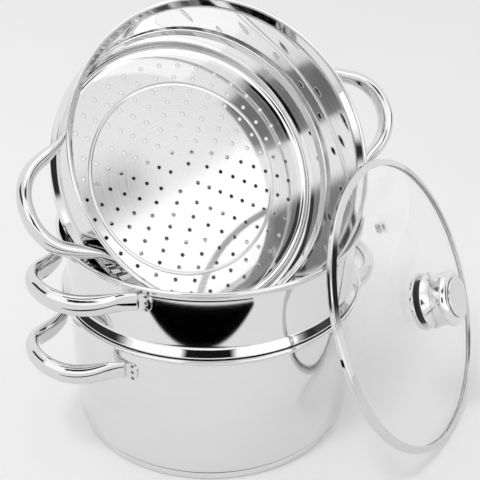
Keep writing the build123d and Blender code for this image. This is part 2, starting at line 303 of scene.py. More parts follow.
def turned(profile: np.ndarray, place: Place, segments: int = 192, poles: bool = False) -> Surface:
    """Profile turned about a frame's axis: P(i, j) = (r_i cos t_j, r_i sin t_j, z_i).

    Args:
        profile: (radius, height) points in mm: a closed outline, or with poles a line that
            starts and ends on the axis.
        place: the frame.
        segments: divisions round the axis.
        poles: whether the first and last points are single vertices on the axis.

    Returns:
        The closed surface.
    """
    t = np.arange(segments) * 2 * pi / segments
    body = profile[1:-1] if poles else profile
    r, z = body[:, :1], body[:, 1:]
    rings = np.stack((r * np.cos(t), r * np.sin(t), z + 0 * t), axis=-1).reshape(-1, 3)
    quads = grid_quads(len(body), segments, wrap_rows=not poles)
    if not poles:
        return Surface(place.world(rings), quads).outward()
    ends = np.array(((0.0, 0.0, profile[0, 1]), (0.0, 0.0, profile[-1, 1])))
    tris = end_fans(segments, (len(body) - 1) * segments, len(rings))
    return Surface(place.world(np.concatenate((rings, ends))), quads, tris).outward()


def carried(rings: np.ndarray) -> Surface:
    """Rings joined in a row and closed at both ends by a fan about the middle of the end ring.

    Args:
        rings: (rows, columns, 3) in mm, in the shared frame.

    Returns:
        The closed surface.
    """
    rows, columns = rings.shape[:2]
    ends = np.stack((rings[0].mean(axis=0), rings[-1].mean(axis=0)))
    tris = end_fans(columns, (rows - 1) * columns, rows * columns)
    return Surface(np.concatenate((rings.reshape(-1, 3), ends)), grid_quads(rows, columns, False),
                   tris).outward()


# Shader maths

class Value:
    """An output socket on which sums add Math nodes, so that a pattern reads as an expression."""

    def __init__(self, graph: "Graph", socket: bpy.types.NodeSocket) -> None:
        """Wrap a socket of a graph."""
        self.graph, self.socket = graph, socket

    def maths(self, operation: str, *others: "Value | float") -> "Value":
        """One Math node whose first input is this value.

        Args:
            operation: the Math node's operation.
            others: its other inputs.

        Returns:
            The node's value.
        """
        return self.graph.value("ShaderNodeMath", {"operation": operation}, dict(enumerate((self, *others))))

    def __add__(self, other: "Value | float") -> "Value":
        """Sum."""
        return self.maths("ADD", other)

    def __sub__(self, other: "Value | float") -> "Value":
        """Difference."""
        return self.maths("SUBTRACT", other)

    def __mul__(self, other: "Value | float") -> "Value":
        """Product."""
        return self.maths("MULTIPLY", other)

    def __truediv__(self, other: "Value | float") -> "Value":
        """Quotient."""
        return self.maths("DIVIDE", other)

    def __rsub__(self, other: float) -> "Value":
        """A number less this value."""
        return self.maths("MULTIPLY", -1.0) + other

    __radd__, __rmul__ = __add__, __mul__


class Graph:
    """Node tree that is built by expressions and by one method for every other node."""

    def __init__(self, tree: bpy.types.NodeTree) -> None:
        """Empty a node tree and keep it."""
        self.tree = tree
        tree.nodes.clear()

    def node(self, kind: str, settings: dict | None = None, inputs: dict | None = None) -> bpy.types.Node:
        """Add a node.

        Args:
            kind: the node's type.
            settings: its own settings, set first.
            inputs: values or links of its sockets, by name or number.

        Returns:
            The node.
        """
        made = self.tree.nodes.new(kind)
        for name, setting in (settings or {}).items():
            setattr(made, name, setting)
        for name, given in (inputs or {}).items():
            if isinstance(given, Value):
                self.tree.links.new(given.socket, made.inputs[name])
            else:
                made.inputs[name].default_value = given
        return made

    def value(self, kind: str, settings: dict | None = None, inputs: dict | None = None,
              output: int | str = 0) -> Value:
        """Add a node and return one of its outputs.

        Args:
            kind: the node's type.
            settings: its own settings.
            inputs: values or links of its sockets.
            output: name or number of the output.

        Returns:
            The output.
        """
        return Value(self, self.node(kind, settings, inputs).outputs[output])

    def vector(self, x: "Value | float", y: "Value | float", z: "Value | float") -> Value:
        """Vector of three values."""
        return self.value("ShaderNodeCombineXYZ", None, {0: x, 1: y, 2: z})

    def parts(self, vector: Value) -> tuple[Value, Value, Value]:
        """The three parts of a vector."""
        split = self.node("ShaderNodeSeparateXYZ", None, {0: vector})
        return tuple(Value(self, split.outputs[k]) for k in range(3))

    def noise(self, vector: Value, scale: float, detail: float = 2.0, rough: float = 0.5) -> Value:
        """Noise between 0 and 1 at a vector."""
        return self.value("ShaderNodeTexNoise", None,
                          {"Vector": vector, "Scale": scale, "Detail": detail, "Roughness": rough})

    def step(self, value: "Value", low: float, high: float, to_low: float = 0.0, to_high: float = 1.0) -> Value:
        """Smooth step of a value from to_low at low to to_high at high."""
        return self.value("ShaderNodeMapRange", {"interpolation_type": "SMOOTHSTEP"},
                          {"Value": value, "From Min": low, "From Max": high,
                           "To Min": to_low, "To Max": to_high})

    def between(self, value: "Value", low: float, high: float, soft: float) -> Value:
        """1 where a value lies between low and high, fading to 0 over soft at each end."""
        return self.step(value, low - soft, low + soft) * self.step(value, high - soft, high + soft, 1.0, 0.0)

    def grey(self, level: "Value | float") -> Value:
        """Neutral colour of a level."""
        return self.value("ShaderNodeCombineColor", None, {0: level, 1: level, 2: level})

    def bump(self, height: Value) -> Value:
        """Normal of a surface with a height in mm."""
        return self.value("ShaderNodeBump", None, {"Strength": 1.0, "Distance": MM, "Height": height})

    def principled(self, inputs: dict) -> Value:
        """Principled shader with some inputs."""
        return self.value("ShaderNodeBsdfPrincipled", None, inputs)

    def output(self, shader: Value, kind: str = "ShaderNodeOutputMaterial") -> None:
        """Output node that shows a shader."""
        self.node(kind, None, {"Surface": shader})

    def place_coordinates(self, place: Place) -> Value:
        """Object coordinates turned into a frame, in metres: R' (p - o)."""
        turn = Matrix(place.axes.T.tolist())
        shift = -(place.axes.T @ place.origin) * MM
        point = self.value("ShaderNodeTexCoord", None, None, "Object")
        return self.value("ShaderNodeMapping", {"vector_type": "POINT"},
                          {"Vector": point, "Location": tuple(shift), "Rotation": turn.to_euler("XYZ")})


def new_material(name: str) -> tuple[bpy.types.Material, Graph]:
    """New material and its empty graph."""
    made = bpy.data.materials.new(name)
    made.use_nodes = True
    return made, Graph(made.node_tree)


def placed(name: str, data: bpy.types.ID) -> bpy.types.Object:
    """New object that holds some data, linked to the scene."""
    made = bpy.data.objects.new(name, data)
    bpy.context.scene.collection.objects.link(made)
    return made


# Finishes

# Cells of the noises, per metre
CIRCLE_SWEEP = 1.5
CIRCLE_PATCH = (40.0, 20.0 / 3.0)
WALL_SWEEP = 14.0
WALL_PATCH = (9.0, 30.0)
FREE_ACROSS = 60.0
SPECK_SCALE = 420.0
WAVE_SCALE = 22.0
# Shares of patches, lines and specks in the haze, and what centres it
HAZE_SHARES = (0.9, 0.5, 0.25, 0.45)
GREY_WANDER = 0.05
SPECK_DEPTH = 0.3
LEAST_ROUGH = 0.02
BRUSHED_SPREAD = (0.2, 0.5)
NEAR_AXIS = 0.001


class Grain(Enum):
    """How the polishing lines of a steel surface run."""

    ROUND = "round the wall"
    TURNED = "in circles on the base"
    FREE = "no lines"


@dataclass(frozen=True)
class Steel:
    """Steel finish: a grey that wanders a little, hazy patches, and polishing lines.

    Args:
        name: name of the material.
        grey: reflectance of the metal.
        rough: roughness of the clean surface.
        haze: how much hazy patches and streaks add to the roughness.
        grain: how the polishing lines run.
        line_depth: depth of the lines, in mm.
        lines: lines per metre across the grain.
        waves: slow unevenness of the sheet, in mm.
        brushed: share of the light that the brushing scatters widely.
        brushed_rough: roughness of that share.
    """

    name: str
    grey: float = 0.86
    rough: float = 0.07
    haze: float = 0.06
    grain: Grain = Grain.FREE
    line_depth: float = 0.004
    lines: float = 900.0
    waves: float = 0.0
    brushed: float = 0.0
    brushed_rough: float = 0.38

    def material(self, place: Place) -> bpy.types.Material:
        """Make the material for a piece whose pattern follows a frame.

        Args:
            place: the frame.

        Returns:
            The material.
        """
        made, g = new_material(self.name)
        local = g.place_coordinates(place)
        x, y, z = g.parts(local)
        if self.grain is Grain.TURNED:
            radius = (x * x + y * y).maths("SQRT")
            away = radius + NEAR_AXIS
            spun = g.vector(radius * self.lines, x / away * CIRCLE_SWEEP, y / away * CIRCLE_SWEEP)
            broad = g.vector(radius * CIRCLE_PATCH[0], x * CIRCLE_PATCH[1], y * CIRCLE_PATCH[1])
        else:
            across = self.lines if self.grain is Grain.ROUND else FREE_ACROSS
            spun = g.vector(x * WALL_SWEEP, y * WALL_SWEEP, z * across)
            broad = g.vector(x * WALL_PATCH[0], y * WALL_PATCH[0], z * WALL_PATCH[1])
        lines = g.noise(spun, 1.0, 3.0, 0.6)
        patches = g.noise(broad, 1.0, 3.0, 0.55)
        specks = g.noise(local, SPECK_SCALE, 2.0, 0.6)
        of_patches, of_lines, of_specks, middle = HAZE_SHARES
        rough = self.rough + self.haze * (patches * of_patches + lines * of_lines + specks * of_specks - middle)
        level = self.grey + (patches - 0.5) * GREY_WANDER + (lines - 0.5) * GREY_WANDER
        height = lines * self.line_depth + specks * (self.line_depth * SPECK_DEPTH)
        if self.waves:
            height = height + g.noise(local, WAVE_SCALE, 1.0, 0.5) * self.waves
        metal = {"Base Color": g.grey(level), "Metallic": 1.0, "Normal": g.bump(height), "IOR": 1.5}
        shader = g.principled(metal | {"Roughness": rough.maths("MAXIMUM", LEAST_ROUGH)})
        if self.brushed:
            to_rough, to_share = BRUSHED_SPREAD
            wide = g.principled(metal | {"Roughness": self.brushed_rough + (lines - 0.5) * to_rough})
            share = (self.brushed + (lines - 0.5) * to_share).maths("MAXIMUM", 0.0)
            shader = g.value("ShaderNodeMixShader", None, {0: share, 1: shader, 2: wide})
        g.output(shader)
        return made


@dataclass(frozen=True)
class Moulded:
    """Rubber, plastic or cast finish without metal lustre.

    Args:
        name: name of the material.
        grey: reflectance.
        rough: roughness.
        grain: grain height, in mm.
    """

    name: str
    grey: float
    rough: float
    grain: float = 0.02

    def material(self, place: Place) -> bpy.types.Material:
        """Make the material for a piece whose pattern follows a frame.

        Args:
            place: the frame.

        Returns:
            The material.
        """
        made, g = new_material(self.name)
        local = g.place_coordinates(place)
        fine, patches = g.noise(local, 900.0, 2.0, 0.6), g.noise(local, 70.0, 3.0, 0.5)
        g.output(g.principled({
            "Base Color": g.grey(self.grey * (0.8 + patches * 0.4)), "IOR": 1.45,
            "Roughness": self.rough + (patches - 0.5) * 0.15, "Normal": g.bump(fine * self.grain)}))
        return made


@dataclass(frozen=True)
class ClearGlass:
    """Clear glass that lets part of the light straight through, with faint smears.

    Args:
        name: name of the material.
        body: share of the light that the glass bends where it is seen face on.
        rim: what seeing it edge on adds to that share.
        tint: transmitted level.
    """

    name: str
    body: float = 0.05
    rim: float = 0.35
    tint: float = 0.985

    def material(self, place: Place) -> bpy.types.Material:
        """Make the material for a pane whose smears follow a frame.

        Args:
            place: the frame.

        Returns:
            The material.
        """
        made, g = new_material(self.name)
        x, y, z = g.parts(g.place_coordinates(place))
        smears = g.noise(g.vector(x * 9.0, y * 22.0, z * 9.0), 1.0, 4.0, 0.6)
        rough = g.step(smears, 0.45, 0.8, 0.0, 0.03)
        facing = g.value("ShaderNodeLayerWeight", None, {"Blend": 0.5}, "Facing")
        body = self.body + self.rim * facing * facing * facing * facing
        g.output(g.principled({
            "Base Color": g.grey(self.tint + (smears - 0.5) * 0.02), "Roughness": rough,
            "Transmission Weight": 1.0, "IOR": 1.5, "Alpha": body}))
        return made


POLISHED = Steel("polished_steel", 0.80, 0.03, 0.02, Grain.ROUND, 0.0008, 1400.0, 0.004)
SATIN = Steel("satin_steel", 0.80, 0.06, 0.03, Grain.ROUND, 0.0012, 1500.0, 0.003)
SPUN = Steel("spun_steel", 0.84, 0.045, 0.04, Grain.TURNED, 0.004, 1300.0, 0.003, 0.38)
CHROME = Steel("handle_chrome", 0.74, 0.03, 0.02, Grain.FREE, 0.0005)
BRIGHT = Steel("bright_steel", 0.72, 0.04, 0.03, Grain.FREE, 0.0008)
KNOB = Steel("knob_steel", 0.80, 0.10, 0.05, Grain.ROUND, 0.0015, 2200.0)
BURNT = Steel("weld_steel", 0.16, 0.45, 0.15, Grain.FREE, 0.01)
ALUMINIUM = Steel("core_aluminium", 0.80, 0.38, 0.10, Grain.TURNED, 0.008, 900.0)
RUBBER = Moulded("seal_rubber", 0.035, 0.55)
INSERT = Moulded("knob_insert", 0.03, 0.42)
GLASS = ClearGlass("lid_glass")


# Pieces

def show(surface: Surface, name: str, body: str, finish: Steel | Moulded | ClearGlass,
         place: Place, replaces: tuple[str, ...]) -> bpy.types.Object:
    """Put a finished piece in the scene.

    Args:
        surface: its surface.
        name: its name.
        body: the body that it rides on.
        finish: its finish.
        place: the frame that its pattern follows.
        replaces: the nodes that it stands for.

    Returns:
        The object.
    """
    piece = placed(name, surface.mesh(name))
    piece.data.materials.append(finish.material(place))
    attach(piece, body)
    if replaces:
        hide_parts(*replaces)
    log.info("%s: %d vertices, %d faces, rides on %s",
             name, len(surface.points), len(piece.data.polygons), body)
    return piece


def dress(node: str, finish: Steel | Moulded, place: Place) -> None:
    """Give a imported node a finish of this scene.

    Args:
        node: the node's name.
        finish: its finish.
        place: the frame that its pattern follows.
    """
    material = finish.material(place)
    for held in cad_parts[node].material_slots:
        held.material = material
    log.info("%s keeps its shape and gets %s", node, material.name)


@dataclass
class LoopHandle:
    """Loop handle: a tube flattened at both ends, on two foot plates that are spot welded to the wall.

    Args:
        drop: depth of the feet below the rim, in mm.
        rise: height of the grip over the feet, in mm.
        sag: dip of the tube between the feet and the grip, in mm.
    """

    drop: float
    rise: float
    sag: float
    wall: float = 140.0
    foot: tuple[float, float] = (62.4, 127.5)
    elbow: tuple[float, float] = (51.25, 137.87)
    shoulder: tuple[float, float] = (27.55, 187.3)
    elbow_bend: float = 25.0
    shoulder_bend: float = 41.0
    width: float = 12.75
    height: float = 20.5
    end_width: float = 3.4
    end_height: float = 17.5
    flat_share: float = 0.22
    plate_angle: float = 28.3
    plate_size: tuple[float, float] = (15.0, 17.5)
    plate_corner: float = 6.5
    plate_gap: float = 0.1
    plate_sheet: float = 1.7
    plate_edge: float = 0.5
    weld_angle: float = 29.3
    weld_pitch: float = 6.5
    weld_radius: float = 1.5
    weld_depth: float = 0.6
    weld_slack: float = 0.1
    weld_slope: float = 0.35
    face_share: float = 0.93
    back_share: float = 0.4
    rows: int = 220
    columns: int = 56

    def tube(self) -> np.ndarray:
        """Rings of the tube, (rows, columns, 3), in the handle's own frame.

        The line of the tube is the rounded line foot, elbow, shoulder and its mirror image. A ring
        at share s of its length is an ellipse, C + (h/2 cos t) z + (w/2 sin t) n, n square to the
        line and level; h and w go from the end sizes to the full ones by 3b^2 - 2b^3 over
        flat_share of the length; C is raised by rise q - 4 sag q (1 - q), q the share of the reach.
        """
        side = [self.foot, self.elbow, self.shoulder]
        corners = [(-u, w) for u, w in side] + side[::-1]
        bends = [self.elbow_bend, self.shoulder_bend]
        points, _ = rounded(corners, bends + bends[::-1], 24)
        length = np.concatenate(((0.0,), np.cumsum(np.linalg.norm(np.diff(points, axis=0), axis=1))))
        share = np.linspace(0.0, 1.0, self.rows)
        line = np.stack([np.interp(share * length[-1], length, points[:, k]) for k in range(2)], axis=1)
        heading = np.gradient(line, axis=0)
        heading /= np.linalg.norm(heading, axis=1)[:, None]
        near = np.clip(np.minimum(share, 1 - share) / self.flat_share, 0.0, 1.0)
        blend = near * near * (3 - 2 * near)
        wide = (self.end_width + (self.width - self.end_width) * blend)[:, None] / 2
        high = (self.end_height + (self.height - self.end_height) * blend)[:, None] / 2
        out = (line[:, 1] - self.foot[1]) / (self.shoulder[1] - self.foot[1])
        lift = (self.rise * out - self.sag * 4 * out * (1 - out))[:, None]
        t = np.arange(self.columns) * 2 * pi / self.columns
        level = wide * np.sin(t)
        return np.stack((line[:, :1] + heading[:, 1:] * level, line[:, 1:] - heading[:, :1] * level,
                         lift + high * np.cos(t)), axis=-1)

    def plate(self, end: int) -> np.ndarray:
        """Rings of a foot plate from the middle of its face, over its edge, to the middle of its back.

        A ring is the plate's rounded outline times k. A point (a, b) of it lies on the wall at the
        angle A + asin(a / R) and the height b. The face is R = outer less the edge's rounding and
        less the weld dimples, whose depth falls to 0 by a smooth step round each weld.

        Args:
            end: -1 or 1, which end of the handle.

        Returns:
            Rings (rows, columns, 3) in the handle's own frame.
        """
        half_a, half_b = (size / 2 for size in self.plate_size)
        corners = [(half_a, half_b), (-half_a, half_b), (-half_a, -half_b), (half_a, -half_b)]
        outline, _ = rounded(corners, [self.plate_corner] * 4, 14, ring=True)
        inner = self.wall + self.plate_gap
        outer = inner + self.plate_sheet
        face = np.concatenate((np.linspace(0.03, self.face_share, 24), (0.95, 0.97, 0.985, 0.995, 1.0)))
        k = np.concatenate((face, (1.0, 1.0), (0.5, 0.03)))[:, None, None]
        a, b = np.moveaxis(k * outline[None], -1, 0)
        off = np.clip((k[..., 0] - self.face_share) / (1 - self.face_share), 0.0, 1.0)
        radius = outer - self.plate_edge * (1 - np.sqrt(1 - off * off))
        radius = np.repeat(radius, a.shape[1], axis=1)
        centre = end * self.wall * sin(radians(self.weld_angle - self.plate_angle))
        for row in (-1, 0, 1):
            gap = np.hypot(a - centre, b - row * self.weld_pitch)
            ease = np.clip((gap - self.weld_radius + self.weld_slack) / self.weld_slope, 0.0, 1.0)
            radius = radius - self.weld_depth * (1 - ease * ease * (3 - 2 * ease))
        radius[len(face)] = inner + self.plate_sheet * self.back_share
        radius[len(face) + 1:] = inner
        angle = end * radians(self.plate_angle) + np.arcsin(a / radius)
        return np.stack((radius * np.sin(angle), radius * np.cos(angle), b), axis=-1)

    def surface(self, place: Place, side: int) -> Surface:
        """The tube and both plates of one handle.

        Args:
            place: the vessel's frame.
            side: -1 or 1, the end of the frame's x axis that it is on.

        Returns:
            Its surface in the shared frame.
        """
        parts = []
        for rings in (self.tube(), self.plate(-1), self.plate(1)):
            u, w, h = np.moveaxis(rings, -1, 0)
            parts.append(carried(place.world(np.stack((side * w, -side * u, h - self.drop), axis=-1))))
        return parts[0].with_others(*parts[1:])


def fit_handles(handle: LoopHandle, place: Place, body: str) -> None:
    """Make both handles of a vessel and dress their welds.

    Args:
        handle: the handle.
        place: the vessel's frame.
        body: the vessel's body, whose name its nodes begin with.
    """
    for side, word in ((-1, "left"), (1, "right")):
        show(handle.surface(place, side), f"{body}_{word}_loop", body, CHROME, place,
             (f"{body}_{word}_handle",))
    dress(f"{body}_handle_welds", BURNT, place)


@dataclass
class Pot:
    """Pot: body with a rolled edge, capsule base and two handles."""

    place: Place = field(default_factory=lambda: Place.turned(143.4, 32.1))
    wall: float = 140.0
    sheet: float = 0.9
    rim_reach: float = 5.9
    bead: float = 1.9
    flare_depth: float = 8.0
    flare_bend: float = 5.0
    floor_height: float = 7.2
    floor_bend: float = 9.0
    cap_radius: float = 136.6
    cap_sheet: float = 0.8
    cap_height: float = 8.2
    cap_bend: float = 3.5
    handle: LoopHandle = field(default_factory=lambda: LoopHandle(26.9, 0.5, 6.2))

    def body(self) -> Surface:
        """Wall and floor as one sheet, with its rolled edge."""
        floor = self.floor_height - self.place.origin[2]
        rim = self.wall + self.rim_reach
        line = rounded([(0.0, floor), (self.wall, floor), (self.wall, -self.flare_depth), (rim, 0.0)],
                       [self.floor_bend, self.flare_bend], 12)
        return turned(sheet(line, self.sheet), self.place, poles=True).with_others(
            turned(circle(rim, 0.0, self.bead), self.place))

    def cap(self) -> Surface:
        """Shallow dish under the base."""
        low = -self.place.origin[2]
        line = rounded([(0.0, low), (self.cap_radius, low), (self.cap_radius, low + self.cap_height)],
                       [self.cap_bend], 10)
        return turned(sheet(line, self.cap_sheet), self.place, poles=True)

    def build(self) -> None:
        """Make and dress the pot's pieces."""
        show(self.body(), "pot_body_sheet", "pot", SATIN, self.place, ("pot_body",))
        show(self.cap(), "pot_base_dish", "pot", SATIN, self.place, ("pot_base_cap",))
        fit_handles(self.handle, self.place, "pot")
        dress("pot_base_core", ALUMINIUM, self.place)


@dataclass
class Basket:
    """Steamer basket: a drawn wall with a seating ridge, a perforated base and two handles.

    Args:
        body: the body and name of the basket.
        place: its frame.
    """

    body: str
    place: Place
    wall: float = 140.0
    sheet: float = 0.8
    depth: float = 106.6
    rim_reach: float = 5.1
    bead: float = 1.9
    flare_depth: float = 8.0
    flare_bend: float = 5.0
    skirt: float = 136.65
    skirt_bend: float = 7.0
    step_depth: float = 73.5
    step_reach: float = 2.15
    step_bend: float = 1.0
    seat_depth: float = 67.2
    ridge_reach: float = 6.2
    ridge_rise: float = 8.2
    ridge_nose: float = 1.3
    ridge_bend: float = 5.0
    border: float = 3.65
    hole: float = 3.9
    rings: int = 9
    ring_step: int = 4
    first_ring: float = 15.1
    ring_pitch: float = 12.61
    hole_start: float = -37.5
    lip_tube: float = 0.26
    emboss: float = 96.5
    emboss_width: float = 4.0
    emboss_height: float = 0.6
    handle: LoopHandle = field(default_factory=lambda: LoopHandle(17.4, 4.4, 4.1))

    def shell(self) -> Surface:
        """Wall from the base's corner to the rolled edge."""
        rim = self.wall + self.rim_reach
        line = rounded(
            [(self.skirt - self.skirt_bend - self.border, -self.depth), (self.skirt, -self.depth),
             (self.skirt, -self.step_depth), (self.skirt + self.step_reach, -self.seat_depth),
             (self.wall + self.ridge_reach, -self.seat_depth), (self.wall, self.ridge_rise - self.seat_depth),
             (self.wall, -self.flare_depth), (rim, 0.0)],
            [self.skirt_bend, self.step_bend, self.step_bend, self.ridge_nose, self.ridge_bend,
             self.flare_bend], 8)
        return turned(sheet(line, self.sheet), self.place).with_others(
            turned(circle(rim, 0.0, self.bead), self.place))

    def lips(self) -> Surface:
        """Thin raised lip round each hole, on both faces of the base.

        Ring n has ring_step (n + 1) holes at the radius first_ring + n ring_pitch. A lip is the
        torus C + (R + t cos v)(cos u, sin u) at the height t sin v, with R just over the hole's.
        """
        count = self.ring_step * (np.arange(self.rings) + 1)
        ring = np.repeat(np.arange(self.rings), count)
        turn = np.concatenate([np.arange(n) / n for n in count]) * 2 * pi + radians(self.hole_start)
        radius = self.first_ring + self.ring_pitch * ring
        centres = np.stack((radius * np.cos(turn), radius * np.sin(turn),
                            0 * turn - self.depth + self.sheet), axis=1)
        centres = np.concatenate((centres, centres - (0.0, 0.0, self.sheet)))
        around, across = 18, 5
        u = np.arange(around)[:, None] * 2 * pi / around
        v = np.arange(across) * 2 * pi / across
        reach = self.hole / 2 + self.lip_tube * (0.6 + np.cos(v))
        torus = np.stack((reach * np.cos(u), reach * np.sin(u), 0 * u + self.lip_tube * np.sin(v)), axis=-1)
        points = centres[:, None, None] + torus[None]
        one = grid_quads(around, across, True)[:, ::-1]
        quads = (one[None] + (np.arange(len(centres)) * around * across)[:, None, None]).reshape(-1, 4)
        return Surface(self.place.world(points.reshape(-1, 3)), quads).outward()

    def embossed_ring(self) -> Surface:
        """Raised ring of the base: the arc of its section with a flat underside in the sheet."""
        top = self.sheet - self.depth
        half = self.emboss_width / 2
        over = arc((self.emboss + half, top + 0.01), (self.emboss, top + self.emboss_height + 0.02),
                   (self.emboss - half, top + 0.01), 12)
        low = top - self.sheet / 4
        under = ((self.emboss - half, low), (self.emboss + half, low))
        return turned(np.concatenate((over, under)), self.place)

    def build(self) -> None:
        """Make and dress the basket's pieces."""
        name = self.body
        show(self.shell(), f"{name}_wall", name, POLISHED, self.place, (f"{name}_shell",))
        show(self.lips(), f"{name}_hole_lips", name, BRIGHT, self.place, ())
        show(self.embossed_ring(), f"{name}_base_ring", name, SPUN, self.place, ())
        dress(f"{name}_base", SPUN, self.place)
        fit_handles(self.handle, self.place, name)


@dataclass
class Lid:
    """Glass lid: a dome held by a rim band, with a vent grommet and a knob.

    Heights are counted from the plane of the lower edge, in mm.
    """

    place: Place = field(default_factory=lambda: Place.leaning((187.56, -30.8, 130.02), 65.02, 62.04, 0.0))
    radius: float = 142.95
    band_sheet: float = 0.6
    band_foot: float = 1.0
    band_height: float = 6.2
    band_top: tuple[float, float] = (6.45, 1.75)
    band_bottom: tuple[float, float] = (5.65, 1.5)
    band_bend: float = 1.2
    glass_edge: float = 141.35
    glass_sheet: float = 4.0
    crown: float = 20.0
    crown_radius: float = 38.0
    fall: float = 14.2
    screw_hole: float = 3.2
    vent: tuple[float, float] = (89.5, 99.5)
    vent_hole: float = 3.9
    vent_tube: float = 3.7
    vent_bore: float = 2.4
    vent_flange: float = 5.4
    vent_flange_sheet: float = 0.9
    gap: float = 0.1
    seal: float = 0.8
    flange: tuple[float, float] = (27.5, 3.6)
    flange_sheet: float = 1.2
    flange_bend: float = 1.4
    neck: tuple[float, float] = (21.0, 6.0)
    insert_radius: float = 9.0
    insert_top: float = 43.6
    screw_bore: float = 2.5
    spool_base: float = 27.2
    spool_waist: float = 25.0
    spool_top: float = 26.4
    spool_height: float = 26.0
    spool_waist_share: float = 0.45
    spool_sheet: float = 1.4
    spool_bend: float = 5.5
    spool_mouth: float = 17.5
    cap: tuple[float, float] = (18.5, 1.6)
    cap_edge: float = 0.7
    cell: float = 3.0
    reach: int = 2
    segments: int = 192

    @property
    def dome(self) -> float:
        """Radius of the dome's arc, from its run and its fall."""
        run = self.glass_edge - self.crown_radius
        return (run * run + self.fall * self.fall) / (2 * self.fall)

    def pane(self, radius: np.ndarray, angle: np.ndarray, depth: float) -> np.ndarray:
        """Points of the glass under its outer face.

        Over the crown the face is level at z = crown; beyond it, at the arc angle
        b = asin((r - crown_radius) / dome), it is z = crown - dome (1 - cos b), and a point at a
        depth lies along the face's normal (sin b, cos b).

        Args:
            radius: distance of the face's points from the axis, in mm.
            angle: their angle, in radians.
            depth: how deep under the face, in mm.

        Returns:
            Points (..., 3) in the lid's frame.
        """
        bend = np.arcsin(np.clip((radius - self.crown_radius) / self.dome, 0.0, 1.0))
        r = radius - depth * np.sin(bend)
        z = self.crown - self.dome * (1 - np.cos(bend)) - depth * np.cos(bend)
        return np.stack((r * np.cos(angle), r * np.sin(angle), z + 0 * angle), axis=-1)

    def glass(self) -> Surface:
        """Dome with a hole for the screw and one for the vent.

        The face and the back are one grid that wraps over the edge and through the screw hole. On
        both, the cells round the vent are left out, and the square that is left is joined to a
        circle by quads; the two circles are joined by the wall of the hole.
        """
        distance, turn = self.vent
        arm = np.arange(-17, 18) * self.cell + distance
        radii = np.concatenate((np.linspace(self.screw_hole, self.crown_radius, 9),
                                arm[arm > self.crown_radius + 1], (self.glass_edge,)))
        radii = radii[radii <= self.glass_edge]
        angles = radians(turn) + np.arange(self.segments) * 2 * pi / self.segments
        rows, columns = len(radii), self.segments
        face = self.pane(radii[:, None], angles[None], 0.0)
        back = self.pane(radii[:, None], angles[None], self.glass_sheet)[::-1]
        middle = int(np.argmin(np.abs(radii - distance)))
        quads = grid_quads(2 * rows, columns, wrap_rows=True)
        row, column = np.divmod(np.arange(len(quads)), columns)
        near = (column < self.reach) | (column >= columns - self.reach)
        first = row - (middle - self.reach)
        second = row - (2 * rows - 1 - middle - self.reach)
        span = 2 * self.reach
        quads = quads[~(near & (((first >= 0) & (first < span)) | ((second >= 0) & (second < span))))]
        side = np.arange(-self.reach, self.reach)
        low, high = 0 * side - self.reach, 0 * side + self.reach
        down = np.concatenate((side, high, -side, low))
        across = np.concatenate((low, side, high, -side))
        spot = np.arctan2(across, down)
        hole_r = distance + self.vent_hole * np.cos(spot)
        hole_a = radians(turn) + self.vent_hole * np.sin(spot) / distance
        count = len(spot)
        start = 2 * rows * columns
        upper, lower = start + np.arange(count), start + count + np.arange(count)
        edge_upper = (middle + down) * columns + across % columns
        edge_lower = (2 * rows - 1 - middle - down) * columns + across % columns
        after = (np.arange(count) + 1) % count
        strips = [np.stack((p, p[after], q[after], q), axis=1)
                  for p, q in ((edge_upper, upper), (upper, lower), (lower, edge_lower))]
        points = np.concatenate((face.reshape(-1, 3), back.reshape(-1, 3), self.pane(hole_r, hole_a, 0.0),
                                 self.pane(hole_r, hole_a, self.glass_sheet)))
        return Surface(self.place.world(points), np.concatenate((quads, *strips)))

    def band(self) -> Surface:
        """Folded channel that grips the edge of the glass."""
        middle = self.radius - self.band_sheet / 2
        line = rounded(
            [(middle - self.band_bottom[0], self.band_foot + self.band_bottom[1]), (middle, self.band_foot),
             (middle, self.band_height), (middle - self.band_top[0], self.band_height + self.band_top[1])],
            [self.band_bend] * 2, 8)
        return turned(sheet(line, self.band_sheet / 2, self.band_sheet / 2), self.place, 256)

    def vent_place(self) -> Place:
        """Frame of the vent: its axis is the normal of the glass there."""
        distance, turn = self.vent
        slope = atan((distance - self.crown_radius) / self.dome)
        height = self.crown - self.dome * (1 - cos(slope))
        out = np.array((cos(radians(turn)), sin(radians(turn)), 0.0))
        return self.place.part(out * distance + (0.0, 0.0, height), out * sin(slope) + (0.0, 0.0, cos(slope)))

    def grommet(self) -> Surface:
        """Short tube with a rounded flange on either face of the glass."""
        top = self.gap + self.vent_flange_sheet
        low = -self.glass_sheet - self.gap - self.vent_flange_sheet
        rolls = [0.3, 0.4, 0.4, 0.1, 0.1, 0.4, 0.4, 0.3]
        outline, _ = rounded(
            [(self.vent_bore, low), (self.vent_flange, low), (self.vent_flange, -self.glass_sheet - self.gap),
             (self.vent_tube, -self.glass_sheet - self.gap), (self.vent_tube, self.gap),
             (self.vent_flange, self.gap), (self.vent_flange, top), (self.vent_bore, top)], rolls, 4, ring=True)
        return turned(outline, self.vent_place(), 64)

    def knob_flange(self) -> Surface:
        """Shallow dish between the seal and the spool."""
        radius, height = self.flange
        seat = self.crown + self.seal
        line = rounded([(self.screw_hole, seat + height), (radius, seat + height), (radius, seat)],
                       [self.flange_bend], 8)
        return turned(sheet(line, 0.0, self.flange_sheet), self.place, 128)

